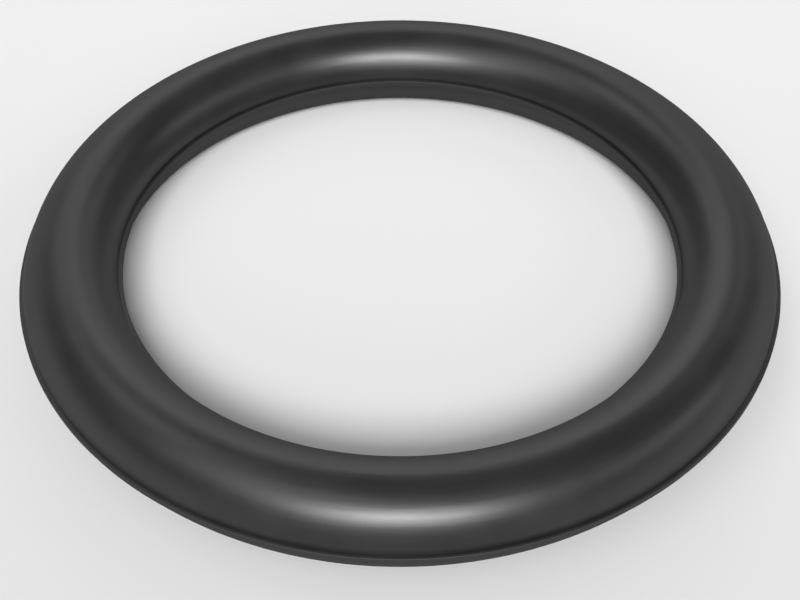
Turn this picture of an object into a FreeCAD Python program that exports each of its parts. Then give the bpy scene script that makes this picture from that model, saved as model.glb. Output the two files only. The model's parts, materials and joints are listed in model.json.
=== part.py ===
import FreeCAD, Part
import os

import Sketcher

# O-ring: one moulded rubber ring of round section. The two halves of its mould
# meet at the middle of its height, and leave a thin square-edged rib of flash
# there, all the way round the outside and all the way round the hole.
# Sizes are in millimetres. The origin is the ring's centre, +Z is its axis, and
# it lies flat.

NODE = "o_ring"
SHEET = "dimensions"

# Driving dimensions: name, value, meaning
DIMENSIONS = (
    ("inside_diameter", 21.82, "across the hole, measured on the round section"),
    ("section_diameter", 3.53, "across the round section"),
    ("flash_reach", 0.16, "how far the rib stands out of the round section"),
    ("flash_thickness", 0.22, "height of the rib, shared evenly by the mould halves"),
)

# Relations between the dimensions
RING_RADIUS = f"({SHEET}.inside_diameter + {SHEET}.section_diameter) / 2"
SECTION_DIAMETER = f"{SHEET}.section_diameter"
FLASH_WIDTH = f"{SHEET}.section_diameter + 2 * {SHEET}.flash_reach"
FLASH_THICKNESS = f"{SHEET}.flash_thickness"

# A sketch's own axis, and the points of a piece of its geometry in their order
AXIS_GEOMETRY = -1
START_POINT, END_POINT, CENTRE_POINT = range(1, 4)
ORIGIN_POINT = START_POINT

FULL_TURN = 360


def make_sheet(doc):
    """Write the driving dimensions, one row each, and give each value its alias."""
    sheet = doc.addObject("Spreadsheet::Sheet", SHEET)
    for row, (name, value, meaning) in enumerate(DIMENSIONS, start=1):
        sheet.set(f"A{row}", name)
        sheet.set(f"B{row}", str(value))
        sheet.set(f"C{row}", meaning)
        sheet.setAlias(f"B{row}", name)
    doc.recompute()
    return sheet


def origin_plane(body, role):
    """Return the body's own origin plane that has this role."""
    for feature in body.Origin.OriginFeatures:
        if feature.Role == role:
            return feature
    raise ValueError(f"the body has no {role}")


def half_plane_sketch(body, name):
    """Start a sketch in the upright plane through the ring's axis."""
    sketch = body.newObject("Sketcher::SketchObject", name)
    sketch.AttachmentSupport = [(origin_plane(body, "XZ_Plane"), "")]
    sketch.MapMode = "FlatFace"
    return sketch


def add_size(sketch, constraint, name, expression):
    """Add a named size to a sketch and bind it to the sheet."""
    index = sketch.addConstraint(constraint)
    sketch.renameConstraint(index, name)
    sketch.setExpression(f"Constraints.{name}", expression)


def draw_section(body, ring_radius, section_radius):
    """Sketch the round section, its centre level with the ring's."""
    sketch = half_plane_sketch(body, "section_sketch")
    centre = FreeCAD.Vector(ring_radius, 0, 0)
    normal = FreeCAD.Vector(0, 0, 1)
    circle = sketch.addGeometry(Part.Circle(centre, normal, section_radius), False)
    sketch.addConstraint(Sketcher.Constraint("PointOnObject", circle, CENTRE_POINT, AXIS_GEOMETRY))
    from_axis = Sketcher.Constraint(
        "DistanceX", AXIS_GEOMETRY, ORIGIN_POINT, circle, CENTRE_POINT, ring_radius
    )
    add_size(sketch, from_axis, "ring_radius", RING_RADIUS)
    across = Sketcher.Constraint("Diameter", circle, 2 * section_radius)
    add_size(sketch, across, "section_diameter", SECTION_DIAMETER)
    return sketch


def draw_flash(body, ring_radius, half_width, half_height):
    """Sketch the flash: a rectangle centred on the round section's centre."""
    sketch = half_plane_sketch(body, "flash_sketch")
    near, far = ring_radius - half_width, ring_radius + half_width
    corners = (
        FreeCAD.Vector(near, -half_height, 0),
        FreeCAD.Vector(far, -half_height, 0),
        FreeCAD.Vector(far, half_height, 0),
        FreeCAD.Vector(near, half_height, 0),
    )
    sides = []
    for start, end in zip(corners, corners[1:] + corners[:1]):
        sides.append(sketch.addGeometry(Part.LineSegment(start, end), False))
    bottom, outside, top, inside = sides
    for side, following in zip(sides, sides[1:] + sides[:1]):
        sketch.addConstraint(
            Sketcher.Constraint("Coincident", side, END_POINT, following, START_POINT)
        )
    for side in (bottom, top):
        sketch.addConstraint(Sketcher.Constraint("Horizontal", side))
    for side in (outside, inside):
        sketch.addConstraint(Sketcher.Constraint("Vertical", side))

    # The middle of the rectangle is a point that opposite corners are symmetric about
    middle = sketch.addGeometry(Part.Point(FreeCAD.Vector(ring_radius, 0, 0)), True)
    sketch.addConstraint(
        Sketcher.Constraint("Symmetric", bottom, START_POINT, top, START_POINT, middle, START_POINT)
    )
    sketch.addConstraint(Sketcher.Constraint("PointOnObject", middle, START_POINT, AXIS_GEOMETRY))
    from_axis = Sketcher.Constraint(
        "DistanceX", AXIS_GEOMETRY, ORIGIN_POINT, middle, START_POINT, ring_radius
    )
    add_size(sketch, from_axis, "ring_radius", RING_RADIUS)
    width = Sketcher.Constraint("DistanceX", bottom, START_POINT, bottom, END_POINT, far - near)
    add_size(sketch, width, "flash_width", FLASH_WIDTH)
    height = Sketcher.Constraint(
        "DistanceY", outside, START_POINT, outside, END_POINT, 2 * half_height
    )
    add_size(sketch, height, "flash_thickness", FLASH_THICKNESS)
    return sketch


def revolve(body, sketch, name):
    """Turn a sketch all the way round the ring's axis."""
    turned = body.newObject("PartDesign::Revolution", name)
    turned.Profile = sketch
    turned.ReferenceAxis = (sketch, ["V_Axis"])
    turned.Angle = FULL_TURN
    sketch.Visibility = False
    return turned


def build_ring(doc, sheet):
    """Build the ring: the round section first, then the flash that joins it."""
    ring_radius = (sheet.inside_diameter + sheet.section_diameter) / 2
    section_radius = sheet.section_diameter / 2
    body = doc.addObject("PartDesign::Body", NODE)
    body.Label = NODE

    section = draw_section(body, ring_radius, section_radius)
    doc.recompute()
    revolve(body, section, "round_ring")
    doc.recompute()

    flash = draw_flash(
        body, ring_radius, section_radius + sheet.flash_reach, sheet.flash_thickness / 2
    )
    doc.recompute()
    body.Tip = revolve(body, flash, "parting_flash")
    doc.recompute()

    body.Placement = FreeCAD.Placement(FreeCAD.Vector(0, 0, 0), FreeCAD.Rotation())
    return body


def check(doc, bodies):
    """Stop if a feature failed, a sketch is loose or a sub-part has no valid solid."""
    for item in doc.Objects:
        if "Invalid" in item.State or "Error" in item.State:
            raise RuntimeError(f"{item.Name} failed: {item.State}")
        if item.isDerivedFrom("Sketcher::SketchObject") and not item.FullyConstrained:
            raise RuntimeError(f"{item.Name} isn't fully constrained")
    for body in bodies:
        if body.Shape.isNull() or not body.Shape.isValid():
            raise RuntimeError(f"{body.Label} has no valid shape")
        if len(body.Shape.Solids) != 1:
            raise RuntimeError(f"{body.Label} isn't one solid")


def main():
    doc = FreeCAD.newDocument("o_ring_model")
    sheet = make_sheet(doc)
    bodies = [build_ring(doc, sheet)]
    doc.recompute()
    check(doc, bodies)
    os.makedirs("parts", exist_ok=True)
    for body in bodies:
        body.Shape.exportStep(f"parts/{body.Label}.step")
        box = body.Shape.optimalBoundingBox()
        print(
            f"{body.Label}: {box.XLength:.2f} x {box.YLength:.2f} x {box.ZLength:.2f} mm,"
            f" {body.Shape.Volume:.1f} mm3, {len(body.Shape.Faces)} faces"
        )


main()
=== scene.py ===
import json
import math

import bmesh
import bpy
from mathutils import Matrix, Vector, noise


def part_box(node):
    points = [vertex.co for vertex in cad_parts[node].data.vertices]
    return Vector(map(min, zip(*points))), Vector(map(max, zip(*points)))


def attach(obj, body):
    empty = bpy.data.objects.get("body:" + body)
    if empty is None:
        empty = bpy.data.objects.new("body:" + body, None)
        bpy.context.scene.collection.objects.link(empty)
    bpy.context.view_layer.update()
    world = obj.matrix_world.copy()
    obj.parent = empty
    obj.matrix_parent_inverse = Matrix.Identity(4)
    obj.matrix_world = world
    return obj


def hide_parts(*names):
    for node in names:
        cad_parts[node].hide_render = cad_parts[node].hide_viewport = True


# A black moulded rubber sealing ring, lying flat on a pale floor under soft studio
# light. Metres. The origin is the ring's centre and +Z is its axis.

MM = 0.001

# The frame, and the sizes read from it
NODE = "o_ring"
BODY = "root"

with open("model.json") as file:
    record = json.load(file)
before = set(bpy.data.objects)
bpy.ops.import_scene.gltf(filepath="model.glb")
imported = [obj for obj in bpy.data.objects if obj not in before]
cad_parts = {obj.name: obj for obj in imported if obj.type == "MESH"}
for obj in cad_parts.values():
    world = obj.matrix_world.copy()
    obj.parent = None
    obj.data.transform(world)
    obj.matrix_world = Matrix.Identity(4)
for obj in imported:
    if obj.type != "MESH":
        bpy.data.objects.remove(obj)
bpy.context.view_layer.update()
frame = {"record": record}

mounts = {mount["name"]: mount for mount in frame["record"]["mounts"]}
RIB_INNER_RADIUS = mounts["inner_seat"]["dims"]["r_mm"] * MM
RIB_OUTER_RADIUS = mounts["outer_seat"]["dims"]["r_mm"] * MM
RIB_THICKNESS = mounts["outer_seat"]["dims"]["length_mm"] * MM
node_low, node_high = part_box(NODE)
SECTION_RADIUS = (node_high.z - node_low.z) / 2
RING_RADIUS = (RIB_INNER_RADIUS + RIB_OUTER_RADIUS) / 2
RIB_HALF_WIDTH = (RIB_OUTER_RADIUS - RIB_INNER_RADIUS) / 2
RIB_REACH = RIB_HALF_WIDTH - SECTION_RADIUS

# Mesh fineness, in steps, and the angle in degrees from which an edge stays sharp
STEPS_ROUND_RING = 480
STEPS_PER_HALF_SECTION = 60
STEPS_PER_CORNER = 3
CREASE_ANGLE = 40

# The rib's edges: rounded by the mould, and trimmed a little unevenly
CORNER_RADIUS = 0.014 * MM
TRIM_UNEVENNESS = 0.012 * MM
TRIM_WAVINESS = 9

# Rubber: its colours and gloss, which is duller on the rib and where it is seen edge on
RUBBER_DARK = (0.004, 0.004, 0.004, 1)
RUBBER_PALE = (0.007, 0.007, 0.007, 1)
RUBBER_TRIMMED = (0.009, 0.009, 0.009, 1)
RUBBER_IOR = 1.61
SMOOTHEST, ROUGHEST = 0.34, 0.40
TRIMMED_ROUGHER = 0.2
EDGE_ON_START, EDGE_ON_ROUGHER = 0.2, 0.6

# Marks on the rubber: clouds of shade, a fine grain, and lines that the mould left.
# Detail is how many finer layers a noise has, and most of a noise lies between
# its low and its high.
CLOUD_SIZE = 2.2 * MM
CLOUD_DETAIL = 4
GRAIN_SIZE = 0.05 * MM
GRAIN_DETAIL = 3
GRAIN_HEIGHT = 0.0015 * MM
LINE_SPACING = 0.16 * MM
LINE_DETAIL = 2
LINE_WAVINESS = 3
LINE_HEIGHT = 0.003 * MM
NOISE_LOW, NOISE_HIGH = 0.3, 0.7

# How far a point stands out of the round section when it starts to count as the rib
RIB_START = 0.01 * MM

# Camera: the sensor and the lens in millimetres, the rest in metres and degrees
SENSOR_WIDTH = 36
LENS = 57.78
AIM = Vector((0, -3.05, 0)) * MM
CAMERA_DISTANCE = 48.19 * MM
CAMERA_ELEVATION = 45
CLIP_START, CLIP_END = 1 * MM, 10

# Floor: matt, so it looks palest from the side that the light comes from
FLOOR_SIZE = 1.5
FLOOR_COLOUR = (0.59, 0.59, 0.59, 1)
FLOOR_MATTNESS = 0.5

# Walls and ceiling, which blend between two heights: sines of the angle above level
STUDIO_COLOUR = (1, 1, 1, 1)
WALL_BRIGHTNESS = 0.75
CEILING_BRIGHTNESS = 0.22
WALL_TOP, CEILING_START = 0.02, 0.2

# Softboxes: name, azimuth, elevation, distance, width, height, brightness
SOFTBOXES = (
    ("key", 0, 41, 3.5, 1.75, 0.95, 23),
    ("front", 0, 35, 4.2, 2.9, 2.9, 1.7),
    ("front_left", -51, 58, 3.8, 2.5, 2.5, 1.45),
    ("left", -125, 57, 3.8, 1.25, 1.25, 1.8),
    ("back_left", -156, 34, 3.8, 1.25, 1, 1.6),
    ("back", 180, 36, 3.8, 1.25, 1.25, 1.8),
    ("back_low", 180, 12, 3.8, 2.5, 1.25, 1),
    ("back_right", 147, 33, 3.8, 0.9, 1.25, 1.3),
    ("right", 90, 28, 3.8, 1.25, 1, 1.85),
    ("front_right", 65, 33, 3.8, 1.25, 1.25, 1.1),
)

# Places of the colour sockets on a mix node, where several sockets share a name
FIRST_COLOUR, SECOND_COLOUR = 6, 7
MIXED_COLOUR = 2


def direction(azimuth, elevation):
    """Unit vector away from the ring, in degrees; azimuth 0 is the camera's side."""
    across, up = math.radians(azimuth), math.radians(elevation)
    level = math.cos(up)
    return Vector((math.sin(across) * level, -math.cos(across) * level, math.sin(up)))


def aim_at(item, place, target):
    """Put an item at a place and point its -Z at the target."""
    item.location = place
    item.rotation_mode = "QUATERNION"
    item.rotation_quaternion = (target - place).to_track_quat("-Z", "Y")


def add_to_scene(name, data):
    """Make an object of this data and put it in the scene."""
    item = bpy.data.objects.new(name, data)
    bpy.context.scene.collection.objects.link(item)
    return item


def mesh_data(name, mesh):
    """Turn an edit mesh into mesh data, and free it."""
    data = bpy.data.meshes.new(name)
    mesh.to_mesh(data)
    mesh.free()
    return data


def corner(centre, start_angle, end_angle):
    """Points of a rounded rib corner, from one angle to the other."""
    points = []
    for step in range(STEPS_PER_CORNER + 1):
        angle = start_angle + (end_angle - start_angle) * step / STEPS_PER_CORNER
        offset = Vector((math.cos(angle), math.sin(angle))) * CORNER_RADIUS
        points.append((centre + offset, True))
    return points


def section_profile():
    """The section, anticlockwise from the rib's outer edge, as (point, is on the rib's edge)."""
    half = RIB_THICKNESS / 2
    root = math.asin(half / SECTION_RADIUS)
    inset = RIB_HALF_WIDTH - CORNER_RADIUS
    level = half - CORNER_RADIUS
    quarter = math.pi / 2

    upper_half = []
    for step in range(STEPS_PER_HALF_SECTION + 1):
        angle = root + (math.pi - 2 * root) * step / STEPS_PER_HALF_SECTION
        point = Vector((math.cos(angle), math.sin(angle))) * SECTION_RADIUS
        upper_half.append((point, False))
    lower_half = [(-point, False) for point, _ in upper_half]

    outer_edge = corner(Vector((inset, -level)), -quarter, 0)
    outer_edge += corner(Vector((inset, level)), 0, quarter)
    inner_edge = [(-point, True) for point, _ in outer_edge]
    return outer_edge + upper_half + inner_edge + lower_half


def trim(point, turn):
    """What to take off the radius of the rib's edge at this turn; below zero at the hole."""
    side = 1 if point.x > 0 else -1
    spot = Vector((math.cos(turn), math.sin(turn), side)) * TRIM_WAVINESS
    return TRIM_UNEVENNESS * (noise.noise(spot) + 1) / 2 * side


def make_ring():
    """The ring: the section turned about the axis, smooth apart from its creases."""
    profile = section_profile()
    mesh = bmesh.new()
    rows = []
    for step in range(STEPS_ROUND_RING):
        turn = math.tau * step / STEPS_ROUND_RING
        row = []
        for point, on_edge in profile:
            radius = RING_RADIUS + point.x
            if on_edge:
                radius -= trim(point, turn)
            place = (radius * math.cos(turn), radius * math.sin(turn), point.y)
            row.append(mesh.verts.new(place))
        rows.append(row)
    for row, following in zip(rows, rows[1:] + rows[:1]):
        for index in range(len(profile)):
            after = (index + 1) % len(profile)
            mesh.faces.new((row[index], following[index], following[after], row[after]))
    bmesh.ops.recalc_face_normals(mesh, faces=mesh.faces)
    data = mesh_data("moulded_ring", mesh)
    data.shade_smooth()
    data.set_sharp_from_angle(angle=math.radians(CREASE_ANGLE))
    return add_to_scene("moulded_ring", data)


def fill(tree, socket, value):
    """Link a node's output to a socket, or set the socket to a plain value."""
    if isinstance(value, bpy.types.NodeSocket):
        tree.links.new(value, socket)
    else:
        socket.default_value = value


def maths(tree, operation, first, second=0.0):
    """Work out one value from two; each is a number or a node's output."""
    item = tree.nodes.new("ShaderNodeMath")
    item.operation = operation
    fill(tree, item.inputs[0], first)
    fill(tree, item.inputs[1], second)
    return item.outputs[0]


def diagonal(tree, first, second):
    """The square root of two squares added together."""
    first_square = maths(tree, "MULTIPLY", first, first)
    second_square = maths(tree, "MULTIPLY", second, second)
    return maths(tree, "SQRT", maths(tree, "ADD", first_square, second_square))


def ramp(tree, value, start, end, low, high):
    """Ease from low to high while the value goes from start to end."""
    item = tree.nodes.new("ShaderNodeMapRange")
    item.interpolation_type = "SMOOTHSTEP"
    fill(tree, item.inputs["Value"], value)
    item.inputs["From Min"].default_value = start
    item.inputs["From Max"].default_value = end
    item.inputs["To Min"].default_value = low
    item.inputs["To Max"].default_value = high
    return item.outputs["Result"]


def mottle(tree, vector, size, detail, around=None):
    """Noise with marks of this size; around is a fourth coordinate, if it has one."""
    item = tree.nodes.new("ShaderNodeTexNoise")
    item.inputs["Scale"].default_value = 1 / size
    item.inputs["Detail"].default_value = detail
    tree.links.new(vector, item.inputs["Vector"])
    if around is not None:
        item.noise_dimensions = "4D"
        tree.links.new(around, item.inputs["W"])
    return item.outputs["Fac"]


def blend_colour(tree, amount, first, second):
    """Mix two colours; each is a colour or a node's output."""
    item = tree.nodes.new("ShaderNodeMix")
    item.data_type = "RGBA"
    tree.links.new(amount, item.inputs["Factor"])
    fill(tree, item.inputs[FIRST_COLOUR], first)
    fill(tree, item.inputs[SECOND_COLOUR], second)
    return item.outputs[MIXED_COLOUR]


def mould_lines(tree, place, from_axis):
    """Noise in lines round the ring: it varies quickly across them and slowly along them."""
    x, y, z = place
    turn_x = maths(tree, "DIVIDE", x, from_axis)
    turn_y = maths(tree, "DIVIDE", y, from_axis)
    lines_at = tree.nodes.new("ShaderNodeCombineXYZ")
    tree.links.new(maths(tree, "DIVIDE", from_axis, LINE_SPACING), lines_at.inputs["X"])
    tree.links.new(maths(tree, "DIVIDE", z, LINE_SPACING), lines_at.inputs["Y"])
    tree.links.new(maths(tree, "MULTIPLY", turn_x, LINE_WAVINESS), lines_at.inputs["Z"])
    along = maths(tree, "MULTIPLY", turn_y, LINE_WAVINESS)
    return mottle(tree, lines_at.outputs["Vector"], 1, LINE_DETAIL, along)


def rubber():
    """Black rubber, satin from its mould, with the rib's trimmed edge duller and paler."""
    material = bpy.data.materials.new("black_rubber")
    material.use_nodes = True
    tree = material.node_tree
    shader = tree.nodes["Principled BSDF"]
    shader.inputs["IOR"].default_value = RUBBER_IOR

    place = tree.nodes.new("ShaderNodeTexCoord").outputs["Object"]
    split = tree.nodes.new("ShaderNodeSeparateXYZ")
    tree.links.new(place, split.inputs["Vector"])
    x, y, z = split.outputs
    from_axis = diagonal(tree, x, y)
    from_core = diagonal(tree, maths(tree, "SUBTRACT", from_axis, RING_RADIUS), z)

    # The rib is whatever stands out of the round section
    proud = maths(tree, "SUBTRACT", from_core, SECTION_RADIUS)
    on_rib = ramp(tree, proud, RIB_START, RIB_REACH, 0, 1)

    lines = mould_lines(tree, (x, y, z), from_axis)
    clouds = mottle(tree, place, CLOUD_SIZE, CLOUD_DETAIL)
    grain = mottle(tree, place, GRAIN_SIZE, GRAIN_DETAIL)

    paler = ramp(tree, clouds, NOISE_LOW, NOISE_HIGH, 0, 1)
    colour = blend_colour(tree, paler, RUBBER_DARK, RUBBER_PALE)
    colour = blend_colour(tree, on_rib, colour, RUBBER_TRIMMED)
    tree.links.new(colour, shader.inputs["Base Color"])

    mean_noise = maths(tree, "DIVIDE", maths(tree, "ADD", clouds, grain), 2)
    satin = ramp(tree, mean_noise, NOISE_LOW, NOISE_HIGH, SMOOTHEST, ROUGHEST)
    satin = maths(tree, "ADD", satin, maths(tree, "MULTIPLY", on_rib, TRIMMED_ROUGHER))
    facing = tree.nodes.new("ShaderNodeLayerWeight").outputs["Facing"]
    edge_on = ramp(tree, facing, EDGE_ON_START, 1, 0, EDGE_ON_ROUGHER)
    tree.links.new(maths(tree, "ADD", satin, edge_on), shader.inputs["Roughness"])

    grain_relief = maths(tree, "MULTIPLY", grain, GRAIN_HEIGHT)
    line_relief = maths(tree, "MULTIPLY", lines, LINE_HEIGHT)
    # The heights are in metres already, so the distance doesn't scale them
    bump = tree.nodes.new("ShaderNodeBump")
    bump.inputs["Distance"].default_value = 1
    tree.links.new(maths(tree, "ADD", grain_relief, line_relief), bump.inputs["Height"])
    tree.links.new(bump.outputs["Normal"], shader.inputs["Normal"])
    return material


def pale_matt():
    """The floor's material: pale, and with no gloss."""
    material = bpy.data.materials.new("pale_floor")
    material.use_nodes = True
    shader = material.node_tree.nodes["Principled BSDF"]
    shader.inputs["Base Color"].default_value = FLOOR_COLOUR
    shader.inputs["Roughness"].default_value = 1
    shader.inputs["Specular IOR Level"].default_value = 0
    shader.inputs["Diffuse Roughness"].default_value = FLOOR_MATTNESS
    return material


def make_floor():
    """A plain pale floor under the ring."""
    mesh = bmesh.new()
    bmesh.ops.create_grid(mesh, x_segments=1, y_segments=1, size=FLOOR_SIZE / 2)
    floor = add_to_scene("floor", mesh_data("floor", mesh))
    floor.location.z = node_low.z
    floor.data.materials.append(pale_matt())
    return floor


def make_camera():
    """The camera at the photo's angle."""
    data = bpy.data.cameras.new("camera")
    data.sensor_width = SENSOR_WIDTH
    data.lens = LENS
    data.clip_start = CLIP_START
    data.clip_end = CLIP_END
    camera = add_to_scene("camera", data)
    aim_at(camera, AIM + direction(0, CAMERA_ELEVATION) * CAMERA_DISTANCE, AIM)
    bpy.context.scene.camera = camera


def softbox(name, azimuth, elevation, distance, width, height, brightness):
    """A soft lamp facing the ring; brightness 1 is that of a white surface."""
    data = bpy.data.lights.new(name, "AREA")
    data.shape = "RECTANGLE"
    data.size = width
    data.size_y = height
    data.energy = brightness * math.pi * width * height
    lamp = add_to_scene(name, data)
    lamp.visible_camera = False
    aim_at(lamp, direction(azimuth, elevation) * distance, Vector((0, 0, 0)))


def make_world():
    """A studio with pale walls and a dim ceiling."""
    world = bpy.data.worlds.new("studio")
    world.use_nodes = True
    tree = world.node_tree
    background = tree.nodes["Background"]
    background.inputs["Color"].default_value = STUDIO_COLOUR
    split = tree.nodes.new("ShaderNodeSeparateXYZ")
    towards = tree.nodes.new("ShaderNodeTexCoord").outputs["Generated"]
    tree.links.new(towards, split.inputs["Vector"])
    height = split.outputs["Z"]
    brightness = ramp(
        tree, height, WALL_TOP, CEILING_START, WALL_BRIGHTNESS, CEILING_BRIGHTNESS
    )
    tree.links.new(brightness, background.inputs["Strength"])
    bpy.context.scene.world = world


ring = make_ring()
ring.data.materials.append(rubber())
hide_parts(NODE)
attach(ring, BODY)

make_floor()
make_camera()
make_world()
for settings in SOFTBOXES:
    softbox(*settings)

bpy.context.scene.view_settings.view_transform = "Standard"
